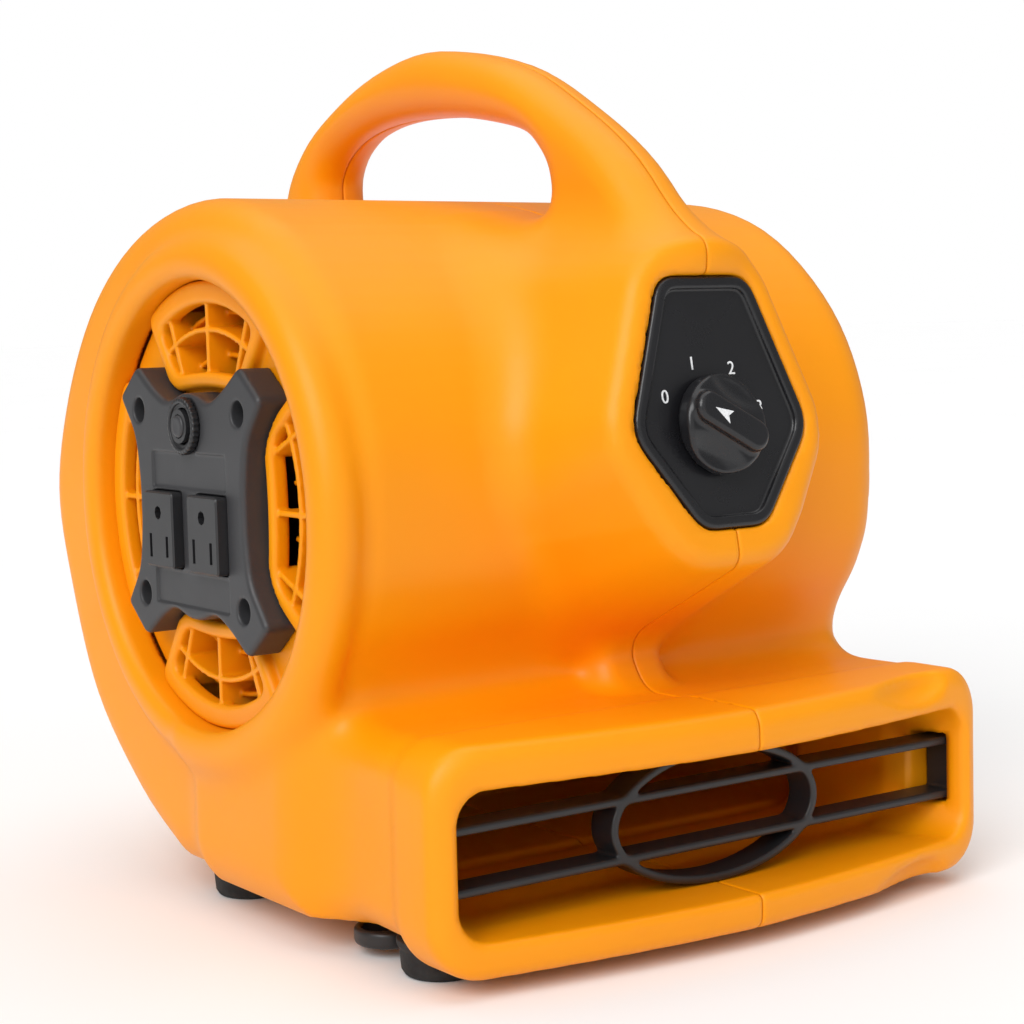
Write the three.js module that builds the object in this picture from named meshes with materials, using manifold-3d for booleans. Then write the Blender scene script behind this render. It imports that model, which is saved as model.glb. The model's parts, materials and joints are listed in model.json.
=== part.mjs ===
// Small carpet and floor air mover: a moulded housing in two halves round a double-inlet blower wheel,
// a wide floor nozzle, a carrying hoop, a rotary speed switch and an outlet panel on the left intake.
// Millimetres, +Z up. The nozzle blows towards -Y, the outlet panel faces -X.
// The origin is on the floor under the middle of the machine.
import * as THREE from "three";
import { mergeVertices } from "three/addons/utils/BufferGeometryUtils.js";
import Module from "manifold-3d";

const wasm = await Module();
wasm.setup();

// ---------- driving dimensions ----------
// Y and Z below are measured from the intake axis, which runs along X through (AXIS_Y, AXIS_Z).
const GAP = 0.3; // left between pieces that touch
const WALL = 3;
const FLOOR_Z = -149;
const NOZZLE_FRONT_Y = -151;
const REAR_Y = 141.79;
const AXIS_Y = -(NOZZLE_FRONT_Y + REAR_Y) / 2;
const AXIS_Z = -FLOOR_Z;

const LEFT_FACE_X = -124; // side walls of the scroll drum
const RIGHT_FACE_X = 118.5;
const DUCT_HALF = 116; // half width of the duct where it leaves the drum
const SHOULDER = 15; // rounding between drum and side wall
const BASE_Z = -136.5; // flat underside of the housing

const RING_X = 131.5; // crest of the ring round the left intake
const RING_OUTER = 91;
const RECESS_RADIUS = 79.5;
const LEDGE_X = 116.5; // the grille disc rests on a ledge here
const LEDGE_RADIUS = 75;

const DISC_X = 118.2; // outer face of a grille disc
const RIM_X = 123;
const RIM_WIDTH = 4.6;
const WINDOW_INNER = 47;
const WINDOW_OUTER = 71;
const WINDOW_SPREAD = 0.56; // half the angle that a window takes up
const RIB_RADIUS = 62;
const RIB = 2;
const RIB_INNER_X = 108;

const PANEL_X = 130.8;
const PANEL_BACK_X = 118.6;
const PANEL_SCREW_Y = 37.7;
const PANEL_SCREW_Z = 33.4;
const RECEPTACLE = { width: 22, height: 27, faceX: 134.8, backX: 108.5, y: 16.8, z: -8.6 };
const BREAKER_Z = 28.5;

const LIP_HALF = 120;
const LIP_TOP = -69.3;
const LIP_BOTTOM = -143.1;
const LIP_END_Y = -136; // the lip is bowed: its ends lie behind its middle
const LIP_BACK_Y = -124;
const MOUTH = { half: 111.9, top: -82.5, bottom: -130.7, corner: 12, throatHalf: 100, throatY: -107 };
const MOUTH_MIDDLE_Z = (MOUTH.top + MOUTH.bottom) / 2;
const NOZZLE_GRILLE = { frontY: -129, backY: -117, half: 115.9, ovalHalf: 46, bar: 3, slatRise: 10 };

const HANDLE_HALF = 15;
const HANDLE_WALL = 4;

// The control face leans back: it is laid out on its own plane, u across and v up from the knob's centre.
const CONTROL = { y: -133.4, z: 24.3, lean: THREE.MathUtils.degToRad(10.2) };
const PLATE_DEPTH = 3;
const POD_RIM = 8.5;
const DIAL = { across: -3, up: 1.5 }; // place of the knob's shaft on the control plate
const KNOB = { radius: 17, low: 4.2, skirt: 7, top: 12, pointerHalf: 15.5 };

const WHEEL = { outer: 75, inner: 61, half: 96, blades: 14, thick: 1.4 };
const MOTOR = { outer: 42, nearX: -34, farX: -98 };
const SHAFT_RADIUS = 4;

const FOOT = { top: 15, bottom: 13.3, x: 97, frontY: -103, rearY: 27, screwTop: -132 };
const STAND = { half: 110, barBack: -60, barFront: -84, thick: 6, z: -142.5, armX: 60, armWidth: 10 };
const STAND_PIVOT = [-10, STAND.z];
const PIN_BORE = 2.1;
const SCREW_BORE = 2.4;

const FINE = 32; // sides of a large circle
const MEDIUM = 16;
const SMALL = 8;
const FAR = 400; // further out than any part of the machine

const FINISHES = {
  housing: { color: 0xf5a300, roughness: 0.45, metalness: 0 },
  black: { color: 0x1e1e20, roughness: 0.5, metalness: 0 },
  panel: { color: 0x2c2c2f, roughness: 0.55, metalness: 0 },
  rubber: { color: 0x161616, roughness: 0.85, metalness: 0 },
  steel: { color: 0x9a9da2, roughness: 0.35, metalness: 1 },
  dark_steel: { color: 0x3a3b3e, roughness: 0.4, metalness: 1 },
  wheel: { color: 0x222326, roughness: 0.6, metalness: 0 },
};

const machine = new THREE.Group();
const assembly = new THREE.Group();
assembly.position.set(0, AXIS_Y, AXIS_Z);
machine.add(assembly);

// ---------- solids ----------
// A closed geometry as a solid, turned the right way out if its faces point inwards.
function solid(geometry) {
  const loose = geometry.index ? geometry.toNonIndexed() : geometry;
  const bare = new THREE.BufferGeometry().setAttribute("position", loose.getAttribute("position"));
  const merged = mergeVertices(bare, 1e-3);
  const points = merged.attributes.position.array;
  const corners = new Uint32Array(merged.index.array);
  if (signedVolume(points, corners) < 0) corners.reverse();
  return new wasm.Manifold(new wasm.Mesh({ numProp: 3, vertProperties: points, triVerts: corners }));
}

function signedVolume(points, corners) {
  const at = (k) => new THREE.Vector3().fromArray(points, 3 * corners[k]);
  let sum = 0;
  for (let k = 0; k < corners.length; k += 3) sum += at(k).dot(at(k + 1).cross(at(k + 2)));
  return sum;
}

function geometryOf(body) {
  const mesh = body.getMesh();
  const geometry = new THREE.BufferGeometry();
  geometry.setAttribute("position", new THREE.BufferAttribute(new Float32Array(mesh.vertProperties), 3));
  geometry.setIndex(new THREE.BufferAttribute(new Uint32Array(mesh.triVerts), 1));
  geometry.computeVertexNormals();
  return geometry;
}

function piece(name, finish, body) {
  const mesh = new THREE.Mesh(geometryOf(body), new THREE.MeshStandardMaterial(FINISHES[finish]));
  mesh.name = name;
  assembly.add(mesh);
}

const join = (bodies) => bodies.reduce((sum, body) => sum.add(body));
const cut = (body, tools) => tools.reduce((rest, tool) => rest.subtract(tool), body);

const ALONG_X = new THREE.Matrix4().makeBasis(
  new THREE.Vector3(0, 1, 0),
  new THREE.Vector3(0, 0, 1),
  new THREE.Vector3(1, 0, 0),
);
const ALONG_Y = new THREE.Matrix4().makeBasis(
  new THREE.Vector3(-1, 0, 0),
  new THREE.Vector3(0, 0, 1),
  new THREE.Vector3(0, 1, 0),
);
const ALONG_Z = new THREE.Matrix4();
const CONTROL_FACE = new THREE.Matrix4()
  .makeRotationX(Math.PI / 2 - CONTROL.lean)
  .setPosition(0, CONTROL.y, CONTROL.z);
const DIAL_FACE = CONTROL_FACE.clone().multiply(
  new THREE.Matrix4().makeTranslation(DIAL.across, DIAL.up, 0),
);

// A shape swept from one place to another along the frame's own Z, with rounded edges and an inset outline.
function prism(frame, shape, from, to, { edge = 0, inset = 0, steps = 2, segments = 2 } = {}) {
  const [low, high] = from < to ? [from, to] : [to, from];
  const rounded = edge > 0 || inset !== 0;
  const size = Math.max(edge, 0.01);
  const geometry = new THREE.ExtrudeGeometry(shape, {
    depth: high - low - 2 * edge,
    bevelEnabled: rounded,
    bevelThickness: edge,
    bevelSize: size,
    bevelOffset: -size - inset,
    bevelSegments: edge > 0 ? steps : 1,
    curveSegments: segments,
  });
  geometry.translate(0, 0, low + edge);
  return solid(geometry.applyMatrix4(frame));
}

// A turned body on the frame's own Z: each point of the profile is [radius, place along the axis].
function turned(frame, profile, sides = MEDIUM, at = [0, 0]) {
  const points = profile.map(([radius, along]) => new THREE.Vector2(radius, along));
  const geometry = new THREE.LatheGeometry(points, sides);
  geometry.rotateX(Math.PI / 2).translate(at[0], at[1], 0);
  return solid(geometry.applyMatrix4(frame));
}

const rod = (frame, radius, from, to, sides = MEDIUM, at = [0, 0]) =>
  turned(frame, [[0, from], [radius, from], [radius, to], [0, to]], sides, at);

const tube = (frame, outer, inner, from, to, sides = MEDIUM, at = [0, 0]) =>
  turned(frame, [[inner, from], [outer, from], [outer, to], [inner, to], [inner, from]], sides, at);

function block(x, y, z) {
  const geometry = new THREE.BoxGeometry(x[1] - x[0], y[1] - y[0], z[1] - z[0]);
  return solid(geometry.translate((x[0] + x[1]) / 2, (y[0] + y[1]) / 2, (z[0] + z[1]) / 2));
}

// ---------- outlines ----------
function rectangle(halfWidth, low, high, corner, middle = 0) {
  const shape = new THREE.Shape();
  const [left, right] = [middle - halfWidth, middle + halfWidth];
  shape.absarc(right - corner, low + corner, corner, -Math.PI / 2, 0);
  shape.absarc(right - corner, high - corner, corner, 0, Math.PI / 2);
  shape.absarc(left + corner, high - corner, corner, Math.PI / 2, Math.PI);
  shape.absarc(left + corner, low + corner, corner, Math.PI, 1.5 * Math.PI);
  shape.closePath();
  return shape;
}

// A polygon whose corners are rounded: each corner is [across, up, rounding].
function roundedPolygon(corners) {
  const shape = new THREE.Shape();
  corners.forEach(([x, y, rounding], i) => {
    const here = new THREE.Vector2(x, y);
    const [before, after] = [corners.at(i - 1), corners[(i + 1) % corners.length]].map(([px, py]) =>
      new THREE.Vector2(px, py).sub(here).setLength(rounding).add(here),
    );
    if (i === 0) shape.moveTo(before.x, before.y);
    else shape.lineTo(before.x, before.y);
    shape.quadraticCurveTo(x, y, after.x, after.y);
  });
  shape.closePath();
  return shape;
}

const mirroredAcross = (half) => [...half, ...half.map(([x, y, r]) => [-x, y, r]).reverse()];

// The scroll, seen from the right with the nozzle to the left: [y, z].
function scrollOutline() {
  const round = [
    [38, BASE_Z], [72, -119], [110, -86], [132, -42], [REAR_Y, 0], [127, 42], [98, 78],
    [58, 101], [11, 108.5], [-36, 97], [-73, 66], [-91, 28], [-92, -12], [-86, -33], [-76, -49], [-66, -63],
  ];
  const curve = new THREE.SplineCurve(round.map(([y, z]) => new THREE.Vector2(y, z)));
  const shape = new THREE.Shape(curve.getPoints(30));
  shape.lineTo(-60, BASE_Z);
  shape.closePath();
  return shape;
}

function handleOutline() {
  const outer = [
    [136, 12], [141.5, 62], [139, 112], [122, 138], [92, 154.5], [59, 164.5], [24, 167],
    [-24, 157], [-60, 139.5], [-93, 117], [-122, 84],
  ];
  const inner = [
    [-54, 92], [-53, 112], [-46, 123], [-34, 131], [-10, 137], [17, 141], [46, 142.5], [70, 141],
    [90, 136], [104, 126], [106, 112], [98, 70],
  ];
  const spline = (points) => new THREE.SplineCurve(points.map(([y, z]) => new THREE.Vector2(y, z)));
  const shape = new THREE.Shape(spline(outer).getPoints(22));
  shape.lineTo(-70, 20);
  spline(inner).getPoints(16).forEach((point) => shape.lineTo(point.x, point.y));
  shape.closePath();
  return shape;
}

function plateOutline(grow = 0) {
  const rounding = 7 + 0.7 * Math.max(grow, 0);
  return roundedPolygon(
    mirroredAcross([
      [13.9 + 0.6 * grow, -33.1 - grow, rounding],
      [38.5 + grow, 0, rounding],
      [19.3 + 0.8 * grow, 51.9 + grow, rounding],
    ]),
  );
}

// The X-shaped panel between the four intake windows: [y, z].
function crossOutline(scale = 1) {
  const quarter = [
    [39.5, 8, 5],
    [42, 24, 6],
    [53.5, 38, 3],
    [39, 49.5, 3],
    [27, 41.5, 5],
    [16, 36.5, 5],
    [4, 40, 3],
  ];
  const half = [...quarter.map(([y, z, r]) => [y, -z, r]).reverse(), ...quarter];
  return roundedPolygon(mirroredAcross(half).map((corner) => corner.map((value) => value * scale)));
}

// One intake window, between two arms of the cross, turned round the axis.
function windowOutline(angle, grow = 0) {
  const turn = (radius, bearing) => {
    const total = Math.PI / 2 - angle + bearing;
    return [radius * Math.cos(total), radius * Math.sin(total), 3];
  };
  const inner = WINDOW_INNER - grow;
  const outer = WINDOW_OUTER + 0.45 * grow;
  const lean = 0.46 + grow / WINDOW_INNER;
  const corners = [turn(inner * 1.02, lean), turn(inner, 0), turn(inner * 1.02, -lean)];
  for (let k = -2; k <= 2; k += 1) corners.push(turn(outer, (k / 2) * (WINDOW_SPREAD + grow / WINDOW_OUTER)));
  return roundedPolygon(corners);
}

// ---------- housing ----------
const drum = prism(ALONG_X, scrollOutline(), LEFT_FACE_X, RIGHT_FACE_X, { edge: SHOULDER });
const drumHollow = prism(ALONG_X, scrollOutline(), LEFT_FACE_X + WALL, RIGHT_FACE_X - WALL, {
  edge: SHOULDER - WALL,
  inset: WALL,
});

// A turned piece on the intake axis, given as [radius, distance from the middle], on one side of the machine.
const turnedOn = (side, profile, sides = FINE, at = [0, 0]) =>
  turned(ALONG_X, profile.map(([radius, x]) => [radius, side * x]), sides, at);

const SEAT_RADIUS = RECESS_RADIUS - 8; // inside of the thick collar that carries a grille
const SEAT_BACK_X = 100;

// The left intake stands in a raised round ring; the right one lies flush in the side wall.
const leftRing = turnedOn(-1, [
  [SEAT_RADIUS, SEAT_BACK_X], [RING_OUTER + 6, SEAT_BACK_X], [RING_OUTER + 5, 114], [RING_OUTER, 125],
  [RING_OUTER - 3, 129.5], [RING_OUTER - 6.5, RING_X], [RECESS_RADIUS + 1.5, 129.5],
  [SEAT_RADIUS, 121], [SEAT_RADIUS, SEAT_BACK_X],
]);
const rightCollar = turnedOn(1, [
  [SEAT_RADIUS, SEAT_BACK_X], [RECESS_RADIUS + 6, SEAT_BACK_X], [RECESS_RADIUS + 6, 112],
  [RECESS_RADIUS + 2.5, 118], [SEAT_RADIUS, 118], [SEAT_RADIUS, SEAT_BACK_X],
]);

const intakeBore = (side) =>
  turnedOn(side, [
    [0, SEAT_BACK_X - 10], [LEDGE_RADIUS, SEAT_BACK_X - 10], [LEDGE_RADIUS, LEDGE_X],
    [RECESS_RADIUS, LEDGE_X], [RECESS_RADIUS, FAR], [0, FAR],
  ]);

const DUCT_BACK_Y = -20; // inside the drum
const DUCT_WIDENS_Y = -90;
const BEYOND_MOUTH = NOZZLE_FRONT_Y - 20;

function ductBody() {
  const plan = new THREE.Shape();
  plan.moveTo(-DUCT_HALF, DUCT_BACK_Y);
  plan.lineTo(-DUCT_HALF, DUCT_WIDENS_Y);
  plan.lineTo(-LIP_HALF, LIP_BACK_Y);
  plan.lineTo(-LIP_HALF, LIP_END_Y);
  plan.quadraticCurveTo(0, 2 * NOZZLE_FRONT_Y - LIP_END_Y, LIP_HALF, LIP_END_Y);
  plan.lineTo(LIP_HALF, LIP_BACK_Y);
  plan.lineTo(DUCT_HALF, DUCT_WIDENS_Y);
  plan.lineTo(DUCT_HALF, DUCT_BACK_Y);
  plan.closePath();
  const front = rectangle(LIP_HALF, BASE_Z, LIP_TOP, 16);
  const lipFront = rectangle(LIP_HALF, LIP_BOTTOM, LIP_TOP, 18);
  const bowed = prism(ALONG_Z, plan, LIP_BOTTOM, LIP_TOP, { edge: 4, segments: 4 });
  const body = prism(ALONG_Y, front, BEYOND_MOUTH, DUCT_BACK_Y);
  const lip = prism(ALONG_Y, lipFront, BEYOND_MOUTH, LIP_BACK_Y);
  return bowed.intersect(body.add(lip));
}

// The air way: it narrows from the mouth to the throat, with a slot at each end for the grille's end plates.
function ductHollow() {
  const plan = new THREE.Shape();
  const intoDrumY = -40;
  const flare = (MOUTH.half - MOUTH.throatHalf) / (MOUTH.throatY - LIP_END_Y);
  const widest = MOUTH.throatHalf + flare * (MOUTH.throatY - BEYOND_MOUTH);
  plan.moveTo(-MOUTH.throatHalf, intoDrumY);
  plan.lineTo(-MOUTH.throatHalf, MOUTH.throatY);
  plan.lineTo(-widest, BEYOND_MOUTH);
  plan.lineTo(widest, BEYOND_MOUTH);
  plan.lineTo(MOUTH.throatHalf, MOUTH.throatY);
  plan.lineTo(MOUTH.throatHalf, intoDrumY);
  plan.closePath();
  const mouth = rectangle(MOUTH.half, MOUTH.bottom, MOUTH.top, MOUTH.corner);
  const way = prism(ALONG_Z, plan, MOUTH.bottom - 1, MOUTH.top + 1).intersect(
    prism(ALONG_Y, mouth, BEYOND_MOUTH, intoDrumY),
  );
  const reach = NOZZLE_GRILLE.half + GAP;
  const height = NOZZLE_GRILLE.slatRise + NOZZLE_GRILLE.bar;
  const slots = block(
    [-reach, reach],
    [NOZZLE_GRILLE.frontY - GAP, NOZZLE_GRILLE.backY + GAP],
    [MOUTH_MIDDLE_Z - height, MOUTH_MIDDLE_Z + height],
  );
  return way.add(slots);
}

// The pillar on the parting line, between the control pod and the nozzle.
function pillar() {
  const shape = new THREE.Shape();
  [
    [-60, 10], [-128, -16], [-108, -27], [-82, -36], [-80.5, -46], [-83, -58], [-90, -72], [-60, -76],
  ].forEach(([y, z], i) => (i ? shape.lineTo(y, z) : shape.moveTo(y, z)));
  shape.closePath();
  return prism(ALONG_X, shape, -13, 13, { edge: 4, steps: 2 });
}

const pod = prism(CONTROL_FACE, plateOutline(POD_RIM + 7), -88, 0.5, { edge: 9 });
const podHollow = prism(CONTROL_FACE, plateOutline(-5), -56, 5);
const platePocket = prism(CONTROL_FACE, plateOutline(GAP), -PLATE_DEPTH - GAP, 5);
const handle = prism(ALONG_X, handleOutline(), -HANDLE_HALF, HANDLE_HALF, { edge: 8 });
const handleHollow = prism(ALONG_X, handleOutline(), -HANDLE_HALF + HANDLE_WALL, HANDLE_HALF - HANDLE_WALL, {
  inset: HANDLE_WALL,
});

const HOUSING_SCREWS = [
  { y: 120, z: 112, head: HANDLE_HALF - 3, tip: -HANDLE_HALF + 1.5 },
  { y: 8, z: 153, head: HANDLE_HALF - 3, tip: -HANDLE_HALF + 1.5 },
  { y: -76, z: 116, head: HANDLE_HALF - 3, tip: -HANDLE_HALF + 1.5 },
  { y: -75, z: -66, head: 10, tip: -9 },
];

function screwHole({ y, z, head, tip }) {
  const profile = [[0, tip], [2.3, tip], [2.3, head], [4.3, head], [4.3, 40], [0, 40]];
  return turned(ALONG_X, profile, SMALL, [y, z]);
}

const GLAND = { angle: THREE.MathUtils.degToRad(-25), radius: 136, x: 60, hole: 7 };
const GLAND_FRAME = new THREE.Matrix4()
  .makeRotationX(GLAND.angle)
  .multiply(ALONG_Y)
  .setPosition(GLAND.x, 0, 0);

const footPlaces = [-1, 1].flatMap((side) =>
  [["front", FOOT.frontY], ["rear", FOOT.rearY]].map(([end, y]) => ({
    name: `${side < 0 ? "left" : "right"}_${end}`,
    at: [side * FOOT.x, y],
  })),
);

function housing() {
  const outside = join([drum, ductBody(), pod, pillar(), handle, leftRing, rightCollar]);
  const hollows = [
    drumHollow,
    ductHollow(),
    handleHollow.subtract(drum).subtract(pod),
    podHollow.subtract(drum),
    platePocket,
    intakeBore(-1),
    intakeBore(1),
    rod(GLAND_FRAME, GLAND.hole, GLAND.radius - 20, GLAND.radius + 20),
    ...HOUSING_SCREWS.map(screwHole),
    ...footPlaces.map(({ at }) => rod(ALONG_Z, 2.3, -150, FOOT.screwTop + GAP, SMALL, at)),
  ];
  return cut(outside, hollows);
}

const wholeHousing = housing();
piece("housing_left", "housing", wholeHousing.intersect(block([-FAR, -GAP / 2], [-FAR, FAR], [-FAR, FAR])));
piece("housing_right", "housing", wholeHousing.intersect(block([GAP / 2, FAR], [-FAR, FAR], [-FAR, FAR])));

HOUSING_SCREWS.forEach(({ y, z, head, tip }, i) => {
  const profile = [
    [0, tip + GAP], [2, tip + GAP], [2, head + GAP], [3.9, head + GAP], [3.9, head + 2.5], [0, head + 2.5],
  ];
  piece(`housing_screw_${i + 1}`, "steel", turned(ALONG_X, profile, SMALL, [y, z]));
});

// ---------- intake grilles ----------
function windowRibs(side, angle) {
  const spoke = new THREE.BoxGeometry(RIM_X - 3 - RIB_INNER_X, RIB, WINDOW_OUTER - WINDOW_INNER + 6);
  spoke.translate((side * (RIM_X - 3 + RIB_INNER_X)) / 2, 0, (WINDOW_OUTER + WINDOW_INNER) / 2);
  const arc = new THREE.Shape();
  const middle = Math.PI / 2 + angle;
  arc.absarc(0, 0, RIB_RADIUS + RIB / 2, middle - WINDOW_SPREAD, middle + WINDOW_SPREAD, false);
  arc.absarc(0, 0, RIB_RADIUS - RIB / 2, middle + WINDOW_SPREAD, middle - WINDOW_SPREAD, true);
  arc.closePath();
  const arcRib = prism(ALONG_X, arc, side * (DISC_X - 6), side * (DISC_X + 2), { segments: 4 });
  return [solid(spoke.rotateX(angle)), arcRib];
}

function grille(side) {
  const quarters = [0, 1, 2, 3].map((k) => (k * Math.PI) / 2);
  const face = rod(ALONG_X, RECESS_RADIUS - GAP, side * (LEDGE_X + GAP), side * DISC_X, FINE);
  const rims = quarters.map((angle) =>
    prism(ALONG_X, windowOutline(-angle, RIM_WIDTH), side * DISC_X - side, side * RIM_X, { segments: 1 }),
  );
  const openings = quarters.map((angle) =>
    prism(ALONG_X, windowOutline(-angle), side * SEAT_BACK_X, side * FAR, { segments: 1 }),
  );
  const crossBed = prism(ALONG_X, crossOutline(1.05), side * DISC_X, side * FAR, { segments: 1 });
  const flange = rod(ALONG_X, RECESS_RADIUS - GAP, side * SEAT_BACK_X, side * FAR, FINE);
  const frame = cut(join([face, ...rims]).intersect(flange), [...openings, crossBed]);
  return join([frame, ...quarters.flatMap((angle) => windowRibs(side, angle))]);
}

const panelScrewPlaces = [-1, 1].flatMap((across) =>
  [1, -1].map((up) => [across * PANEL_SCREW_Y, up * PANEL_SCREW_Z]),
);

const leftGrilleCuts = [
  block([-FAR, -SEAT_BACK_X], [-29, 29], [RECEPTACLE.z - 15, RECEPTACLE.z + 15]),
  rod(ALONG_X, 8.5, -FAR, -SEAT_BACK_X, MEDIUM, [0, BREAKER_Z]),
  ...panelScrewPlaces.map((at) => rod(ALONG_X, SCREW_BORE, -FAR, -SEAT_BACK_X, SMALL, at)),
];
piece("intake_grille_left", "housing", cut(grille(-1), leftGrilleCuts));

const BEARING = { outer: 11, width: 7 };
const rightGrilleCuts = [
  rod(ALONG_X, BEARING.outer + GAP, SEAT_BACK_X, FAR, MEDIUM),
  ...panelScrewPlaces.map((at) => rod(ALONG_X, SCREW_BORE, SEAT_BACK_X, FAR, SMALL, at)),
];
const bearingSeat = rod(ALONG_X, 18, 107, LEDGE_X + 1);
piece("intake_grille_right", "housing", cut(grille(1).add(bearingSeat), rightGrilleCuts));

// ---------- outlet panel on the left, plain cover on the right ----------
const crossPlate = (side) =>
  prism(ALONG_X, crossOutline(), side * PANEL_BACK_X, side * PANEL_X, { edge: 1.6, steps: 1, segments: 1 });

const HEAD_SEAT_X = 122;
const HEAD_BORE = 4.5;
const counterbore = (side, at) =>
  turnedOn(side, [
    [0, SEAT_BACK_X], [SCREW_BORE, SEAT_BACK_X], [SCREW_BORE, HEAD_SEAT_X], [HEAD_BORE, HEAD_SEAT_X],
    [HEAD_BORE, FAR], [0, FAR],
  ], SMALL, at);

const receptaclePlaces = { receptacle_front: -RECEPTACLE.y, receptacle_rear: RECEPTACLE.y };
const receptacleShape = (y, grow) =>
  rectangle(
    RECEPTACLE.width / 2 + grow,
    RECEPTACLE.z - RECEPTACLE.height / 2 - grow,
    RECEPTACLE.z + RECEPTACLE.height / 2 + grow,
    1.5,
    y,
  );

const panelCuts = [
  ...Object.values(receptaclePlaces).map((y) => prism(ALONG_X, receptacleShape(y, GAP), -SEAT_BACK_X, -FAR)),
  rod(ALONG_X, 6.3, -SEAT_BACK_X, -FAR, MEDIUM, [0, BREAKER_Z]),
  ...panelScrewPlaces.map((at) => counterbore(-1, at)),
];
piece("outlet_panel", "panel", cut(crossPlate(-1), panelCuts));

function receptacle(y) {
  const outline = receptacleShape(y, 0);
  const body = prism(ALONG_X, outline, -RECEPTACLE.backX, -RECEPTACLE.faceX, { edge: 0.6, steps: 1 });
  const deep = [-140, -122];
  const slots = [
    block(deep, [y - 7.3, y - 5.4], [RECEPTACLE.z - 9.7, RECEPTACLE.z - 2.2]),
    block(deep, [y + 5.4, y + 7.3], [RECEPTACLE.z - 10.2, RECEPTACLE.z - 1.7]),
    rod(ALONG_X, 2.5, deep[0], deep[1], SMALL, [y, RECEPTACLE.z + 6]),
  ];
  return cut(body, slots);
}
Object.entries(receptaclePlaces).forEach(([name, y]) => piece(name, "black", receptacle(y)));

const breakerAt = [0, BREAKER_Z];
piece("breaker_body", "black", cut(
  join([
    rod(ALONG_X, 8, -104.5, -DISC_X, MEDIUM, breakerAt),
    rod(ALONG_X, 6, -117, -PANEL_X - 3, MEDIUM, breakerAt),
  ]),
  [rod(ALONG_X, 4.3, -119, -FAR, MEDIUM, breakerAt)],
));
piece("breaker_collar", "black", tube(ALONG_X, 10, 6.3, -PANEL_X - GAP, -PANEL_X - 2.6, MEDIUM, breakerAt));
piece("breaker_button", "black", rod(ALONG_X, 4, -121.5, -PANEL_X - 3.9, MEDIUM, breakerAt));

const coverBoss = turned(ALONG_X, [[0, 125], [22, 125], [22, 132.5], [20, 134.8], [0, 134.8]], MEDIUM);
piece("bearing_cover", "panel", cut(crossPlate(1).add(coverBoss), [
  rod(ALONG_X, 13, 110, 128, MEDIUM),
  ...panelScrewPlaces.map((at) => counterbore(1, at)),
]));

const panelScrew = (side, at) =>
  turnedOn(side, [
    [0, 106], [2, 106], [2, HEAD_SEAT_X + GAP], [4, HEAD_SEAT_X + GAP], [4, HEAD_SEAT_X + 2],
    [3, HEAD_SEAT_X + 3], [0, HEAD_SEAT_X + 3],
  ], SMALL, at);
panelScrewPlaces.forEach((at, i) => {
  piece(`panel_screw_${i + 1}`, "dark_steel", panelScrew(-1, at));
  piece(`cover_screw_${i + 1}`, "dark_steel", panelScrew(1, at));
});

// ---------- motor and blower wheel ----------
const motorCan = turned(ALONG_X, [
  [8, MOTOR.nearX], [MOTOR.outer, MOTOR.nearX], [MOTOR.outer, MOTOR.farX], [MOTOR.outer - 2, MOTOR.farX],
  [MOTOR.outer - 2, MOTOR.nearX - 2.5], [8, MOTOR.nearX - 2.5], [8, MOTOR.nearX],
], MEDIUM);
piece("motor_can", "steel", motorCan);

const BRACKET_X = -104.2;
const bracketPosts = panelScrewPlaces.map((at) => tube(ALONG_X, 6, SCREW_BORE, -LEDGE_X, -101, SMALL, at));
const bracketPlate = tube(ALONG_X, 56, BEARING.outer + GAP, BRACKET_X, MOTOR.farX - GAP, FINE);
const bracketVents = [0, 1, 2, 3].map((k) => {
  const vent = new THREE.BoxGeometry(20, 20, 12);
  return solid(vent.translate(-104, 0, 28).rotateX((k * Math.PI) / 2));
});
const bracketHoles = panelScrewPlaces.map((at) => rod(ALONG_X, SCREW_BORE, -120, -95, SMALL, at));
const bracket = join([bracketPlate, ...bracketPosts]);
piece("motor_bracket", "dark_steel", cut(bracket, [...bracketVents, ...bracketHoles]));

piece("stator", "dark_steel", tube(ALONG_X, MOTOR.outer - 2 - GAP, 24, -45, -88));
piece("rotor", "steel", tube(ALONG_X, 23.3, SHAFT_RADIUS + GAP, -44, -89));
piece("motor_shaft", "steel", rod(ALONG_X, SHAFT_RADIUS, BRACKET_X - 1, 117, MEDIUM));
piece("bearing_left", "steel", tube(ALONG_X, BEARING.outer, SHAFT_RADIUS + GAP, BRACKET_X, MOTOR.farX));
piece("bearing_right", "steel", tube(ALONG_X, BEARING.outer, SHAFT_RADIUS + GAP, 109, 109 + BEARING.width));

function blowerWheel() {
  const hub = turned(ALONG_X, [
    [SHAFT_RADIUS + GAP, -12], [12, -12], [14, -2], [WHEEL.outer - 2, -1.2], [WHEEL.outer - 2, 1.2],
    [14, 2], [12, 26], [SHAFT_RADIUS + GAP, 26], [SHAFT_RADIUS + GAP, -12],
  ], FINE);
  const hoop = (x) => tube(ALONG_X, WHEEL.outer, WHEEL.inner + 2, x - 1.5, x + 1.5, FINE);
  const blades = Array.from({ length: WHEEL.blades }, (_, k) => {
    const blade = new THREE.BoxGeometry(2 * WHEEL.half - 2, WHEEL.thick, WHEEL.outer - WHEEL.inner - 1);
    blade.rotateX(0.6).translate(0, 0, (WHEEL.outer + WHEEL.inner) / 2);
    return solid(blade.rotateX((2 * Math.PI * k) / WHEEL.blades));
  });
  return join([hub, hoop(1.5 - WHEEL.half), hoop(WHEEL.half - 1.5), ...blades]);
}
piece("blower_wheel", "wheel", blowerWheel());
piece("wheel_collar", "steel", tube(ALONG_X, 9, SHAFT_RADIUS + GAP, 26.4, 34));

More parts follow.
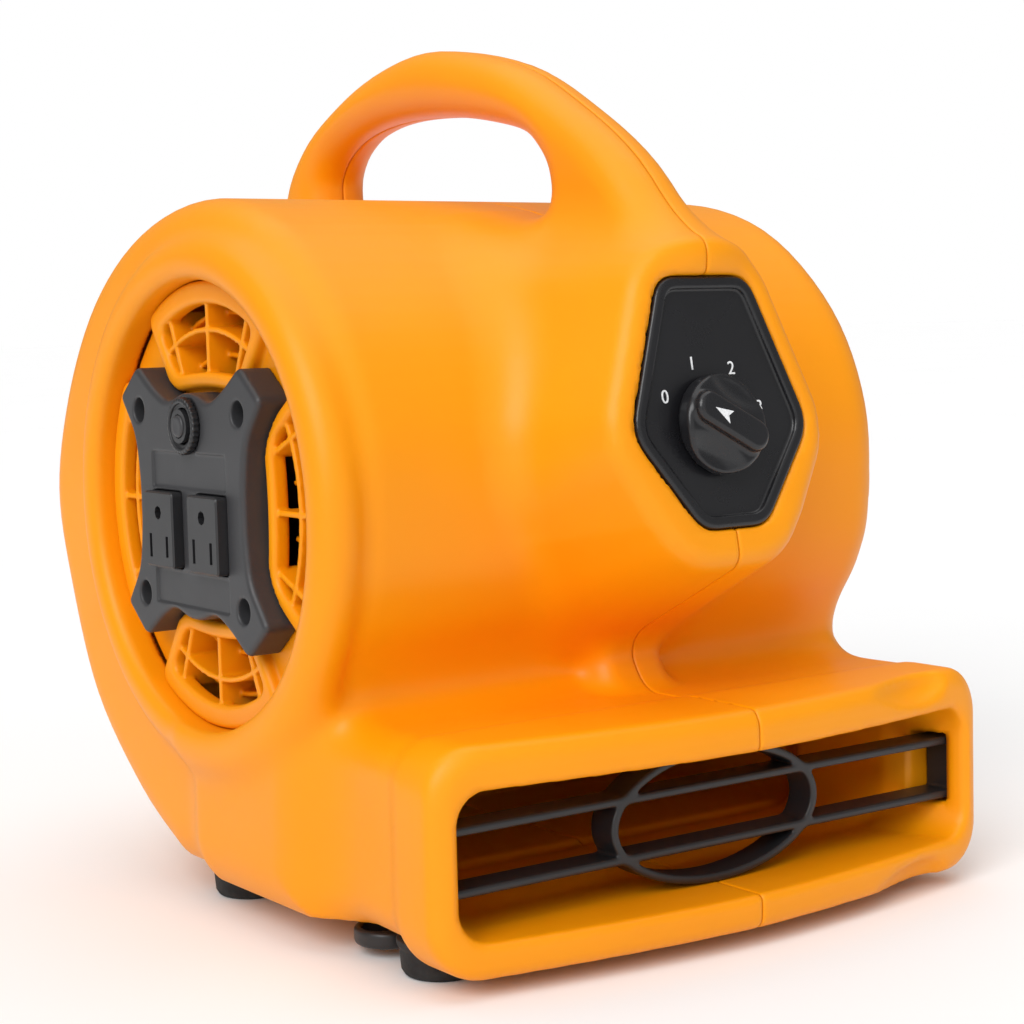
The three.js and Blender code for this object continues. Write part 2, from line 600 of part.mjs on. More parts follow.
// ---------- control pod ----------
const plate = prism(CONTROL_FACE, plateOutline(), -PLATE_DEPTH, 1.2, { edge: 0.8, steps: 1 });
const plateWell = prism(CONTROL_FACE, plateOutline(-4), 0, 3);
piece("control_plate", "black", cut(plate, [plateWell, rod(DIAL_FACE, 5.3, -9, 9, SMALL)]));
piece("switch_body", "black", cut(
  prism(DIAL_FACE, rectangle(14, -14, 14, 2), -28, -PLATE_DEPTH - GAP).add(
    rod(DIAL_FACE, 5, -PLATE_DEPTH - 1, 4, SMALL),
  ),
  [rod(DIAL_FACE, 3.3, -24, 9, SMALL)],
));
piece("switch_nut", "steel", tube(DIAL_FACE, 8.5, 6, GAP, 3, 6));

function speedKnob() {
  const skirt = turned(DIAL_FACE, [
    [0, KNOB.low], [KNOB.radius, KNOB.low], [KNOB.radius - 0.5, KNOB.skirt - 1.5],
    [KNOB.radius - 2, KNOB.skirt], [0, KNOB.skirt],
  ], MEDIUM);
  const pointing = new THREE.Matrix4().makeRotationZ(Math.PI / 3).premultiply(DIAL_FACE);
  const pointer = rectangle(5.5, -KNOB.pointerHalf, KNOB.pointerHalf, 5);
  const bar = prism(pointing, pointer, KNOB.skirt - 2, KNOB.top, { edge: 1.6 });
  const shaft = rod(DIAL_FACE, 3, -22, KNOB.low + 1, SMALL);
  return join([skirt, bar, shaft]);
}
piece("speed_knob", "black", speedKnob());
piece("run_capacitor", "black", prism(CONTROL_FACE, rectangle(9, 20, 34, 2), -38, -8));

// ---------- nozzle grille ----------
function nozzleGrille() {
  const { frontY, backY, half, ovalHalf, bar, slatRise } = NOZZLE_GRILLE;
  const rise = (MOUTH.top - MOUTH.bottom) / 2 - GAP;
  const oval = (grow) => {
    const shape = new THREE.Shape();
    shape.absellipse(0, MOUTH_MIDDLE_Z, ovalHalf + grow, rise + grow, 0, 2 * Math.PI);
    return shape;
  };
  const ring = prism(ALONG_Y, oval(0), frontY, backY, { segments: 14 }).subtract(
    prism(ALONG_Y, oval(-bar), frontY - 1, backY + 1, { segments: 14 }),
  );
  const slats = [-slatRise, slatRise].map((up) =>
    block([-half, half], [frontY, backY], [MOUTH_MIDDLE_Z + up - bar / 2, MOUTH_MIDDLE_Z + up + bar / 2]),
  );
  const ends = [-half, half - bar].map((x) =>
    block([x, x + bar], [frontY, backY], [MOUTH_MIDDLE_Z - slatRise - 1, MOUTH_MIDDLE_Z + slatRise + 1]),
  );
  return join([ring, ...slats, ...ends]);
}
piece("nozzle_grille", "black", nozzleGrille());

// ---------- feet, stand and cord gland ----------
const FOOT_SIDES = 12;
footPlaces.forEach(({ name, at }) => {
  const outer = [[FOOT.top, BASE_Z - GAP], [FOOT.bottom, FLOOR_Z + 1], [FOOT.bottom - 1, FLOOR_Z]];
  const bore = [[5, FLOOR_Z], [5, FLOOR_Z + 6], [2.4, FLOOR_Z + 6], [2.4, BASE_Z - GAP]];
  piece(`foot_${name}`, "rubber", turned(ALONG_Z, [...outer, ...bore, outer[0]], FOOT_SIDES, at));
  const head = FLOOR_Z + 6 - GAP;
  const screw = [
    [0, head - 3], [4.4, head - 3], [4.4, head], [2, head], [2, FOOT.screwTop], [0, FOOT.screwTop],
  ];
  piece(`foot_screw_${name}`, "dark_steel", turned(ALONG_Z, screw, SMALL, at));
});

const STAND_EYE = 4.5;
const LUG = { width: 7, reach: 8 };
const pinBore = rod(ALONG_X, PIN_BORE, -STAND.half, STAND.half, SMALL, STAND_PIVOT);

function kickstand() {
  const [low, high] = [STAND.z - STAND.thick / 2, STAND.z + STAND.thick / 2];
  const bar = new THREE.Shape();
  const radius = (STAND.barBack - STAND.barFront) / 2;
  const middle = (STAND.barBack + STAND.barFront) / 2;
  bar.absarc(STAND.half - radius, middle, radius, -Math.PI / 2, Math.PI / 2);
  bar.absarc(radius - STAND.half, middle, radius, Math.PI / 2, 1.5 * Math.PI);
  bar.closePath();
  const foot = prism(ALONG_Z, bar, low, high, { edge: 1.5, steps: 1, segments: 8 });
  const arms = [-1, 1].flatMap((side) => {
    const xs = [side * STAND.armX - STAND.armWidth / 2, side * STAND.armX + STAND.armWidth / 2];
    const arm = block(xs, [STAND.barBack - 6, STAND_PIVOT[0]], [low, high]);
    return [arm, rod(ALONG_X, STAND_EYE, xs[0], xs[1], SMALL, STAND_PIVOT)];
  });
  return cut(join([foot, ...arms]), [pinBore]);
}
piece("kickstand", "black", kickstand());

[["left", -1], ["right", 1]].forEach(([name, side]) => {
  const near = STAND.armX + STAND.armWidth / 2 + GAP;
  const across = [side * near, side * (near + LUG.width)].sort((a, b) => a - b);
  const along = [STAND_PIVOT[0] - LUG.reach, STAND_PIVOT[0] + LUG.reach];
  const lug = block(across, along, [STAND.z - STAND_EYE, BASE_Z - GAP]);
  piece(`stand_lug_${name}`, "black", lug.subtract(pinBore));
  const pinEnds = [side * (STAND.armX - 6), side * (near + LUG.width)];
  piece(`stand_pin_${name}`, "steel", rod(ALONG_X, PIN_BORE - GAP, ...pinEnds, SMALL, STAND_PIVOT));
});

const glandProfile = [
  [3.5, GLAND.radius - 8], [GLAND.hole - GAP, GLAND.radius - 8], [GLAND.hole - GAP, GLAND.radius + 4],
  [10, GLAND.radius + 4], [10, GLAND.radius + 6], [6, GLAND.radius + 9], [3.5, GLAND.radius + 9],
  [3.5, GLAND.radius - 8],
];
piece("cord_gland", "rubber", turned(GLAND_FRAME, glandProfile, MEDIUM));

export default machine;
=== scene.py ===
"""The looks of the small air mover: moulded shells, grilles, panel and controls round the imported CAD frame.

Shapes are worked out in millimetres from the intake axis: x across, y towards the back, z up.
Each moulded piece is a distance function, negative inside the plastic, which carve() turns into a mesh.
"""

import json
import math

import bmesh
import bpy
import numpy as np
from mathutils import Matrix, Vector


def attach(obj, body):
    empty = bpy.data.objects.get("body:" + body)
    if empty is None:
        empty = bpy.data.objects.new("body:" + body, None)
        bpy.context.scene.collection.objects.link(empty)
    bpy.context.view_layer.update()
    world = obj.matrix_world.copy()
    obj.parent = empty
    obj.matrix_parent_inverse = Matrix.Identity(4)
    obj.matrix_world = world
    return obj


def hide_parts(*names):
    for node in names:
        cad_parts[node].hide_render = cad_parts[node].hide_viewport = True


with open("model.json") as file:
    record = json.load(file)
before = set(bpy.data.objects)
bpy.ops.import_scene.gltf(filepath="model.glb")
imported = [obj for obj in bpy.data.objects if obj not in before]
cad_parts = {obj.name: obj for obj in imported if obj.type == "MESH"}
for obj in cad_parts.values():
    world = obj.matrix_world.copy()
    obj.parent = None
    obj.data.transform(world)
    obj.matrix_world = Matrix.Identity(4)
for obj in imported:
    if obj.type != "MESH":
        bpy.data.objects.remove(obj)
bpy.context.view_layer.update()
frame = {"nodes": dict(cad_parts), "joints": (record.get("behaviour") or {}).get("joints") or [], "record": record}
JOINTS = {joint["name"]: joint for joint in frame["joints"]}
AXIS = Vector(JOINTS["impeller_spin"]["pos_m"])
MM = 0.001

# ---------- driving dimensions, as in the CAD frame ----------
BASE_Z = -136.5
FLOOR_Z = -149.0
DRUM_FACE = {-1: 124.0, 1: 118.5}
SHOULDER = 17.0
WALL = 6.0
RING_X = 131.5
RECESS_RADIUS = 79.5
LEDGE_X = 116.5
LEDGE_RADIUS = 75.0
DISC_X = 118.2
RIM_X = 123.0
WINDOW_INNER = 47.0
WINDOW_OUTER = 71.0
PANEL_X = 130.8
PANEL_BACK_X = 118.6
SCREW_Y = 37.7
SCREW_Z = 33.4
RECEPTACLE_Y = 16.8
RECEPTACLE_Z = -8.6
BREAKER_Z = 28.5
BEAD_RADIUS = 86.0
BEAD_X = 122.5
BEAD_ROUND = 9.0
PILLAR_HALF = 13.0
LIP_FRONT = -151.0
LIP_BACK = -112.0
LIP_END_Y = -136.0
LIP_HALF = 120.0
LIP_TOP = -69.3
LIP_BOTTOM = -143.1
MOUTH_HALF = 111.9
MOUTH_TOP = -82.5
MOUTH_BOTTOM = -130.7
THROAT_HALF = 100.0
THROAT_Y = -107.0
DUCT_BACK = -52.0
DIAL_ACROSS = -3.0
DIAL_UP = 1.5
CONTROL_Y = -133.4
CONTROL_Z = 24.3
LEAN = math.radians(10.2)
HANDLE_HALF = 15.0
GRILLE_FRONT = -129.0
GRILLE_BACK = -117.0
GRILLE_HALF = 115.9
OVAL_HALF = 46.0
SLAT_RISE = 10.0
GLAND_X = 60.0
GLAND_ANGLE = math.radians(-25)
KNOB_LOW = 2.6
KNOB_SKIRT = 7.0
KNOB_TOP = 11.9
NUMBER_RADIUS = 21.8
NUMBER_FIRST = 152
NUMBER_STEP = 46
KNOB_REST = 60
STAND_BAR_Y = -72.0
STAND_PIVOT_Y = -10.0
STAND_Z = -142.5
STAND_ARM_X = 60.0
FOOT_X = 97
FOOT_FRONT_Y = -103
FOOT_REAR_Y = 27


# ---------- distance functions ----------
def smooth_min(a, b, width):
    share = np.clip(0.5 + 0.5 * (b - a) / width, 0, 1)
    return b + (a - b) * share - width * share * (1 - share)


def smooth_max(a, b, width):
    return -smooth_min(-a, -b, width)


def between(value, low, high):
    return np.maximum(low - value, value - high)


def rounded_pair(a, b, radius):
    """The intersection of two bodies, with a round edge of that radius where their faces meet."""
    a, b = a + radius, b + radius
    outside = np.hypot(np.maximum(a, 0), np.maximum(b, 0))
    return outside + np.minimum(np.maximum(a, b), 0) - radius


def rectangle(a, b, half_a, half_b, radius):
    return rounded_pair(np.abs(a) - half_a, np.abs(b) - half_b, radius)


def outline_distance(points, a, b):
    """Signed distance in a plane from a closed outline."""
    a, b = np.broadcast_arrays(np.asarray(a, float), np.asarray(b, float))
    nearest = np.full(a.shape, 1e12)
    inside = np.zeros(a.shape, bool)
    for (pa, pb), (qa, qb) in zip(points, np.roll(points, -1, axis=0)):
        ea, eb = qa - pa, qb - pb
        wa, wb = a - pa, b - pb
        along = np.clip((wa * ea + wb * eb) / (ea * ea + eb * eb), 0, 1)
        nearest = np.minimum(nearest, (wa - along * ea) ** 2 + (wb - along * eb) ** 2)
        if pb != qb:
            inside ^= ((pb > b) != (qb > b)) & (a < pa + ea * (b - pb) / eb)
    return np.where(inside, -1.0, 1.0) * np.sqrt(nearest)


def smooth_curve(points, steps):
    """An open curve through the points."""
    p = np.array([points[0], *points, points[-1]], float)
    rows = []
    for k in range(1, len(p) - 2):
        for t in np.arange(steps) / steps:
            rows.append(
                0.5 * (2 * p[k] + (p[k + 1] - p[k - 1]) * t
                       + (2 * p[k - 1] - 5 * p[k] + 4 * p[k + 1] - p[k + 2]) * t * t
                       + (3 * p[k] - p[k - 1] - 3 * p[k + 1] + p[k + 2]) * t ** 3)
            )
    return np.array([*rows, p[-1]])


def rounded_polygon(corners, steps=6):
    """A closed outline: each corner is (across, up, rounding)."""
    rows = []
    count = len(corners)
    for k, (a, b, rounding) in enumerate(corners):
        here = np.array([a, b], float)
        ends = [np.array(corners[(k + turn) % count][:2], float) for turn in (-1, 1)]
        start, end = [here + (e - here) * rounding / np.linalg.norm(e - here) for e in ends]
        for t in np.linspace(0, 1, steps):
            rows.append((1 - t) ** 2 * start + 2 * t * (1 - t) * here + t * t * end)
    return np.array(rows)


# ---------- outlines ----------
SCROLL = np.vstack([
    smooth_curve([
        (38, BASE_Z), (72, -119), (110, -86), (132, -42), (141.8, 0), (127, 42), (98, 78),
        (58, 101), (11, 108.5), (-36, 97), (-73, 66), (-91, 28), (-92, -12),
        (-86, -33), (-76, -49), (-66, -63),
    ], 6),
    [(-60, BASE_Z)],
])
HANDLE = np.vstack([
    smooth_curve([
        (136, 12), (141, 62), (139, 112), (122, 138), (92, 154.5), (59, 164.5), (24, 167),
        (-24, 157), (-60, 139.5), (-93, 117), (-122, 84),
    ], 5),
    [(-70, 20)],
    smooth_curve([
        (-54, 92), (-53, 112), (-46, 123), (-34, 131), (-10, 137), (17, 141), (46, 142.5), (70, 141),
        (90, 136), (104, 126), (106, 112), (98, 70),
    ], 5),
])
PLATE_HALF = [(13.9, -33.1, 6), (38.5, 0, 8), (19.3, 51.9, 7)]
PLATE = rounded_polygon(PLATE_HALF + [(-a, b, r) for a, b, r in reversed(PLATE_HALF)])
CROSS_QUARTER = [
    (39.5, 8, 5), (42, 24, 6), (53.5, 38, 3), (39, 49.5, 3), (27, 41.5, 5), (16, 36.5, 5), (4, 40, 3),
]
CROSS_HALF = [(a, -b, r) for a, b, r in reversed(CROSS_QUARTER)] + CROSS_QUARTER
CROSS = rounded_polygon(CROSS_HALF + [(-a, b, r) for a, b, r in reversed(CROSS_HALF)])
PILLAR = np.array([
    (-60, 10), (-128, -16), (-108, -27), (-82, -36), (-80.5, -46), (-83, -58), (-92, -76), (-60, -80),
], float)


def control_axes(x, y, z):
    """Places on the leaning control face: across, up, and out of the face."""
    dy, dz = y - CONTROL_Y, z - CONTROL_Z
    up = dy * math.sin(LEAN) + dz * math.cos(LEAN)
    out = -dy * math.cos(LEAN) + dz * math.sin(LEAN)
    return x, up, out


# ---------- housing ----------
def lip_front(x):
    return LIP_FRONT + (LIP_END_Y - LIP_FRONT) * (np.abs(x) / LIP_HALF) ** 1.6


def duct(x, y, z):
    """The outside of the duct between the drum and the lip."""
    middle, half = (LIP_TOP + BASE_Z) / 2, (LIP_TOP - BASE_Z) / 2
    narrow = np.clip((y + 124) / 60, 0, 1) * 4
    tube = rectangle(np.abs(x) + narrow, z - middle, LIP_HALF, half, 14)
    return smooth_max(tube, between(y, lip_front(x) + 4, 0), 3)


def lip(x, y, z):
    """The thick edge of the nozzle, bowed forwards in the middle."""
    middle, half = (LIP_TOP + LIP_BOTTOM) / 2, (LIP_TOP - LIP_BOTTOM) / 2
    front = rectangle(x, z - middle, LIP_HALF, half, 17)
    return smooth_max(front, between(y, lip_front(x), LIP_BACK), 6)


def duct_hollow(x, y, z):
    """The air's way out, flared at the mouth, with a slot at each end for the nozzle grille."""
    middle, half = (MOUTH_TOP + MOUTH_BOTTOM) / 2, (MOUTH_TOP - MOUTH_BOTTOM) / 2
    flare = (MOUTH_HALF - THROAT_HALF) / (THROAT_Y - LIP_END_Y)
    width = THROAT_HALF + flare * np.clip(THROAT_Y - y, 0, 60)
    tube = rounded_pair(np.abs(x) - width, np.abs(z - middle) - half, 11)
    deep = between(y, GRILLE_FRONT - 0.6, GRILLE_BACK + 0.6)
    slots = np.maximum(rectangle(x, z - middle, GRILLE_HALF + 0.3, 13, 2), deep)
    return np.minimum(np.maximum(tube, y - DUCT_BACK), slots)


def pod(x, y, z):
    """The leaning block that carries the control plate."""
    across, up, out = control_axes(x, y, z)
    flare = 9 + 0.30 * np.clip(-out, 0, 90) + 4 * np.clip(-up / 30, 0, 1)
    side = outline_distance(PLATE, across, up) - flare
    return smooth_max(side, between(out, -100, 1.6), 6)


def housing_distance(x, y, z, side):
    """x is the distance from the parting plane, on the side -1 (left) or 1 (right)."""
    scroll = outline_distance(SCROLL, y, z)
    handle_side = outline_distance(HANDLE, y, z)
    radius = np.hypot(y, z)
    body = rounded_pair(scroll, x - DRUM_FACE[side], SHOULDER)
    if side < 0:
        body = smooth_min(body, np.hypot(radius - BEAD_RADIUS, x - BEAD_X) - BEAD_ROUND, 5)
    nozzle = smooth_min(duct(x, y, z), lip(x, y, z), 5)
    body = smooth_min(body, nozzle, 26)
    body = smooth_min(body, rounded_pair(outline_distance(PILLAR, y, z), np.abs(x) - PILLAR_HALF, 5), 9)
    grip = rounded_pair(handle_side, np.abs(x) - HANDLE_HALF, 12.5)
    front = smooth_min(pod(x, y, z), grip, 20)
    body = smooth_min(body, front, 9 + 9 * np.clip((z + 10) / 60, 0, 1))
    body = np.maximum(body, BASE_Z - z - np.where(y < LIP_BACK, 20.0, 0))

    across, up, out = control_axes(x, y, z)
    plate_side = outline_distance(PLATE, across, up)
    hollow = rounded_pair(scroll + WALL, x - DRUM_FACE[side] + WALL, SHOULDER - WALL)
    hollow = smooth_min(hollow, duct_hollow(x, y, z), 6)
    pocket = np.maximum(plate_side - 0.4, -3.4 - out)
    pod_hollow = np.maximum(np.maximum(plate_side + 5, between(out, -52, 20)), -(scroll - 1))
    grip_hollow = np.maximum(grip + WALL, 4 - np.minimum(scroll, pod(x, y, z)))
    bore = np.maximum(radius - LEDGE_RADIUS, 80 - x)
    recess = np.maximum(radius - RECESS_RADIUS, LEDGE_X - x)
    body = smooth_max(body, -np.minimum(hollow, pod_hollow), 2.5)
    body = smooth_max(body, -np.minimum(np.minimum(bore, recess), pocket), 1.6)
    body = np.maximum(body, -grip_hollow)
    if side > 0:
        body = smooth_max(body, -lip_dimples(x, y, z), 2)
        body = np.maximum(body, -gland_hole(x, y, z))
    return body


def lip_dimples(x, y, z):
    """Two teardrop hollows in the nozzle's rim, near its right end."""
    along = (x - 78) / 22
    waist = 7.5 * np.sqrt(np.clip(1 - along ** 2, 0.0, 1)) * (1 + 0.35 * along)
    off_front = y - lip_front(x) + 2
    upper = np.hypot(off_front, z - LIP_TOP + 1) - waist
    lower = np.hypot(off_front, z - LIP_BOTTOM - 1) - waist
    return np.where(np.abs(along) < 1, np.minimum(upper, lower), 5.0)


def gland_hole(x, y, z):
    """The round hole at the back for the cord's gland."""
    along = y * math.cos(GLAND_ANGLE) + z * math.sin(GLAND_ANGLE)
    off = -y * math.sin(GLAND_ANGLE) + z * math.cos(GLAND_ANGLE)
    return np.maximum(np.hypot(x - GLAND_X, off) - 7, 110 - along)


# ---------- grilles ----------
def window_distance(across, up, grow):
    """The opening between two arms of the cross, for the window above the axis."""
    radius = np.hypot(across, up)
    sides = np.abs(across) * math.cos(0.60) - (up - 13) * math.sin(0.60) - 1.5
    inner = WINDOW_INNER - up - 0.0032 * (across * across)
    body = smooth_max(sides - grow, inner - grow, 6)
    return smooth_max(body, radius - WINDOW_OUTER - 1.6 * grow, 5)


def turned(y, z, quarter):
    return (y, z) if quarter == 0 else turned(z, -y, quarter - 1)


def fan(across, up, radii, leans, half):
    """Ribs of that half thickness: arcs at the radii and straight ones that lean from the middle."""
    radius = np.hypot(across, up)
    arcs = [np.abs(radius - r) - half for r in radii]
    rays = [np.abs(across * math.cos(lean) - up * math.sin(lean)) - half for lean in leans]
    return np.minimum.reduce(arcs + rays)


def grille_distance(x, y, z, hub):
    """A disc with four windows, a raised rim round each, and shallow and deep ribs across them."""
    radius = np.hypot(y, z)
    edge = radius - (RECESS_RADIUS - 0.4)
    disc = np.maximum(edge, between(x, LEDGE_X + 0.3, DISC_X))
    rims, openings, ribs = [np.full(np.broadcast(x, y, z).shape, 50.0) for _ in range(3)]
    for quarter in range(4):
        across, up = turned(y, z, quarter)
        opening = window_distance(across, up, 0.0)
        rims = np.minimum(rims, rounded_pair(window_distance(across, up, 5.5), x - RIM_X, 2.4))
        openings = np.minimum(openings, opening)
        near = np.maximum(window_distance(across, up, 2.5), between(x, 106.5, RIM_X - 1.6))
        fins = fan(across, up, (62,), (-0.42, 0.0, 0.42), 0.95)
        deep = fan(across, up, (53, 68), (-0.21, 0.21), 0.9)
        ribs = np.minimum(ribs, np.maximum(near, fins))
        ribs = np.minimum(ribs, np.maximum(np.maximum(near, x - 113.5), deep))
    rims = np.maximum(rims, np.maximum(edge, LEDGE_X + 0.3 - x))
    rims = np.maximum(rims, -(np.maximum(outline_distance(CROSS, y, z) - 0.9, DISC_X - x)))
    body = smooth_min(disc, rims, 1.5)
    body = smooth_max(body, -openings, 2.2)
    body = np.minimum(body, ribs)
    return np.maximum(body, -hub(x, y, z))


def off_screws(y, z):
    """How far a place is from the nearest of the four screws of the panel or the cover."""
    return np.hypot(np.abs(y) - SCREW_Y, np.abs(z) - SCREW_Z)


def left_hub(x, y, z):
    """What is cut from the left grille behind the panel, for receptacles, breaker and screws."""
    pocket = rectangle(y, z - RECEPTACLE_Z, 29, 15, 1)
    breaker_hole = np.hypot(y, z - BREAKER_Z) - 8.5
    return np.minimum(np.minimum(pocket, breaker_hole), off_screws(y, z) - 2.5) + 0 * x


def right_hub(x, y, z):
    """What is cut from the right grille behind the cover, for the bearing and screws."""
    return np.minimum(np.hypot(y, z) - 13, off_screws(y, z) - 2.5) + 0 * x


# ---------- panel and cover ----------
def cross_plate(x, y, z):
    """The X-shaped plate, with a counterbored hole in each corner."""
    body = rounded_pair(outline_distance(CROSS, y, z), x - PANEL_X, 2.0)
    body = np.maximum(body, PANEL_BACK_X - x)
    counterbore = np.maximum(off_screws(y, z) - 4.5, 122 - x)
    holes = np.minimum(counterbore, off_screws(y, z) - 2.4)
    return smooth_max(body, -holes, 0.8)


def panel_distance(x, y, z):
    """The outlet panel: two shallow label fields, the receptacles' openings and the breaker's seat."""
    body = cross_plate(x, y, z)
    labels = np.minimum(rectangle(y, z - 12.6, 28, 6.4, 1), rectangle(y, z + 29.4, 28, 6.2, 1))
    body = smooth_max(body, -np.maximum(labels, PANEL_X - 0.7 - x), 0.4)
    outlets = rectangle(np.abs(y) - RECEPTACLE_Y, z - RECEPTACLE_Z, 11.35, 13.85, 1.4)
    body = np.maximum(body, -outlets)
    seat = np.maximum(np.hypot(y, z - BREAKER_Z) - 10.6, PANEL_X - 0.6 - x)
    body = np.maximum(body, -np.minimum(seat, np.hypot(y, z - BREAKER_Z) - 6.4))
    return body


def cover_distance(x, y, z):
    """The cover on the right: a boss for the bearing and two grooves round it."""
    radius = np.hypot(y, z)
    boss = rounded_pair(radius - 22, x - 134.7, 2.2)
    rings = np.minimum(np.abs(radius - 27) - 0.9, np.abs(radius - 31) - 0.9)
    body = smooth_min(cross_plate(x, y, z), np.maximum(boss, PANEL_BACK_X - x), 3)
    body = smooth_max(body, -np.maximum(rings, PANEL_X - 0.9 - x), 0.8)
    return np.maximum(body, -np.maximum(radius - 13, x - 128))


# ---------- controls ----------
def plate_distance(x, y, z):
    """The control plate on its own axes: a raised edge round a shallow well, and the shaft's hole."""
    side = outline_distance(PLATE, x, y)
    body = rounded_pair(side, z - 1.9, 1.3)
    well = rounded_pair(side + 4.2, -(z - 0.2), 0.8)
    body = np.maximum(smooth_max(body, -well, 1.0), -3.0 - z)
    return np.maximum(body, -(np.hypot(x - DIAL_ACROSS, y - DIAL_UP) - 5.4))


def knob_distance(x, y, z):
    """A round skirt with a raised pointer bar, and a scoop on each side of the bar."""
    radius = np.hypot(x, y)
    skirt = rounded_pair(radius - 17.0 + 0.06 * (z - KNOB_LOW), z - KNOB_SKIRT - 1.2, 1.5)
    scoop = np.hypot(np.hypot(np.abs(x) - 13.5, 0.45 * y), z - KNOB_SKIRT - 6) - 7.6
    bar = rounded_pair(rectangle(x, y, 5.4, 15.6, 5.2), z - KNOB_TOP, 1.9)
    body = smooth_min(smooth_max(skirt, -scoop, 1.5), bar, 1.8)
    return np.maximum(body, KNOB_LOW - z)


# ---------- nozzle grille and stand ----------
def nozzle_grille_distance(x, y, z):
    """An oval ring, two slats and a plate at each end."""
    middle, half = (MOUTH_TOP + MOUTH_BOTTOM) / 2, (MOUTH_TOP - MOUTH_BOTTOM) / 2 - 0.3
    height = z - middle
    scale = np.sqrt((x / OVAL_HALF) ** 2 + (height / half) ** 2)
    slope = np.sqrt((x / OVAL_HALF ** 2) ** 2 + (height / half ** 2) ** 2) + 1e-6
    ring = np.abs((scale - 1) * scale / slope + 1.5) - 1.5
    slats = np.maximum(np.abs(np.abs(height) - SLAT_RISE) - 1.5, np.abs(x) - GRILLE_HALF)
    ends = np.maximum(between(np.abs(x), GRILLE_HALF - 3.2, GRILLE_HALF), np.abs(height) - SLAT_RISE - 1)
    body = smooth_min(smooth_min(ring, slats, 1.6), ends, 1.0)
    return rounded_pair(body, between(y, GRILLE_FRONT, GRILLE_BACK), 0.7)


def stand_distance(x, y, z):
    """A flat bar with round ends and shallow hollows, and two arms with an eye each for the pins."""
    bar = np.hypot(np.maximum(np.abs(x) - 98, 0), y - STAND_BAR_Y) - 12
    arm_side = np.abs(np.abs(x) - STAND_ARM_X) - 5
    arm = np.maximum(arm_side, between(y, STAND_BAR_Y + 6, STAND_PIVOT_Y))
    flat = rounded_pair(smooth_min(bar, arm, 5), np.abs(z - STAND_Z) - 3, 1.6)
    off_pivot = np.hypot(y - STAND_PIVOT_Y, z - STAND_Z)
    body = smooth_min(flat, np.maximum(off_pivot - 4.5, arm_side), 1.5)
    slot = np.hypot(np.maximum(np.abs(np.abs(x) - 92) - 9, 0), y - STAND_BAR_Y) - 6.5
    body = smooth_max(body, -np.maximum(slot, -144.2 - z + 0 * x), 1.0)
    body = smooth_max(body, -np.maximum(slot, z + 140.6), 1.0)
    return np.maximum(body, -(off_pivot - 2.1))


# ---------- meshing ----------
def cell_vertices(field, mixed, axes):
    """One vertex for each mixed cell: the mean of where its edges cross the surface."""
    corners = np.argwhere(mixed)
    total = np.zeros((len(corners), 3))
    count = np.zeros(len(corners))
    for axis in range(3):
        for one in (0, 1):
            for two in (0, 1):
                start = corners.copy()
                others = [a for a in range(3) if a != axis]
                start[:, others[0]] += one
                start[:, others[1]] += two
                end = start.copy()
                end[:, axis] += 1
                low = field[tuple(start.T)]
                high = field[tuple(end.T)]
                crosses = (low < 0) != (high < 0)
                share = np.where(crosses, low / np.where(crosses, low - high, 1), 0)
                place = start.astype(float)
                place[:, axis] += share
                total += place * crosses[:, None]
                count += crosses
    mean = total / count[:, None]
    step = [a[1] - a[0] for a in axes]
    return np.stack([axes[k][0] + mean[:, k] * step[k] for k in range(3)], 1)


def settle(points, distance, step, rounds=3):
    """Moves each vertex along the slope on to the true surface."""
    reach = 0.02
    for _ in range(rounds):
        here = distance(*points.T)
        slope = np.stack([
            (distance(*(points + reach * unit).T) - distance(*(points - reach * unit).T)) / (2 * reach)
            for unit in np.eye(3)
        ], 1)
        steep = np.maximum((slope ** 2).sum(1), 0.2)
        move = -(here / steep)[:, None] * slope
        size = np.maximum(np.linalg.norm(move, axis=1), 1e-9)
        points = points + move * np.minimum(1, 0.45 * step / size)[:, None]
    return points


def carve(distance, low, high, step):
    """Vertices and faces of the surface where distance is zero, inside a box."""
    axes = [np.arange(a, b + step, step) for a, b in zip(low, high)]
    grid = distance(axes[0][:, None, None], axes[1][None, :, None], axes[2][None, None, :])
    field = np.broadcast_to(grid, [len(a) for a in axes])
    inside = field < 0
    total = np.zeros([len(a) - 1 for a in axes], int)
    for i in (0, 1):
        for j in (0, 1):
            for k in (0, 1):
                total += inside[i:len(axes[0]) - 1 + i, j:len(axes[1]) - 1 + j, k:len(axes[2]) - 1 + k]
    mixed = (total > 0) & (total < 8)
    number = np.full(mixed.shape, -1)
    number[mixed] = np.arange(mixed.sum())
    points = settle(cell_vertices(field, mixed, axes), distance, step)
    faces = []
    for axis in range(3):
        one, two = (axis + 1) % 3, (axis + 2) % 3
        first, second = [slice(None)] * 3, [slice(None)] * 3
        first[axis], second[axis] = slice(None, -1), slice(1, None)
        first, second = tuple(first), tuple(second)
        crossing = np.argwhere(inside[first] != inside[second])
        crossing = crossing[(crossing[:, one] > 0) & (crossing[:, two] > 0)]
        crossing = crossing[(crossing[:, one] < mixed.shape[one]) & (crossing[:, two] < mixed.shape[two])]
        outward = inside[first][tuple(crossing.T)]
        ring = []
        for back_one, back_two in ((1, 1), (0, 1), (0, 0), (1, 0)):
            cell = crossing.copy()
            cell[:, one] -= back_one
            cell[:, two] -= back_two
            ring.append(number[tuple(cell.T)])
        quads = np.stack(ring, 1)
        faces.append(np.where(outward[:, None], quads, quads[:, ::-1]))
    return points, np.vstack(faces)


def new_object(name, data):
    """An object with that data, linked into the scene."""
    piece = bpy.data.objects.new(name, data)
    bpy.context.scene.collection.objects.link(piece)
    return piece


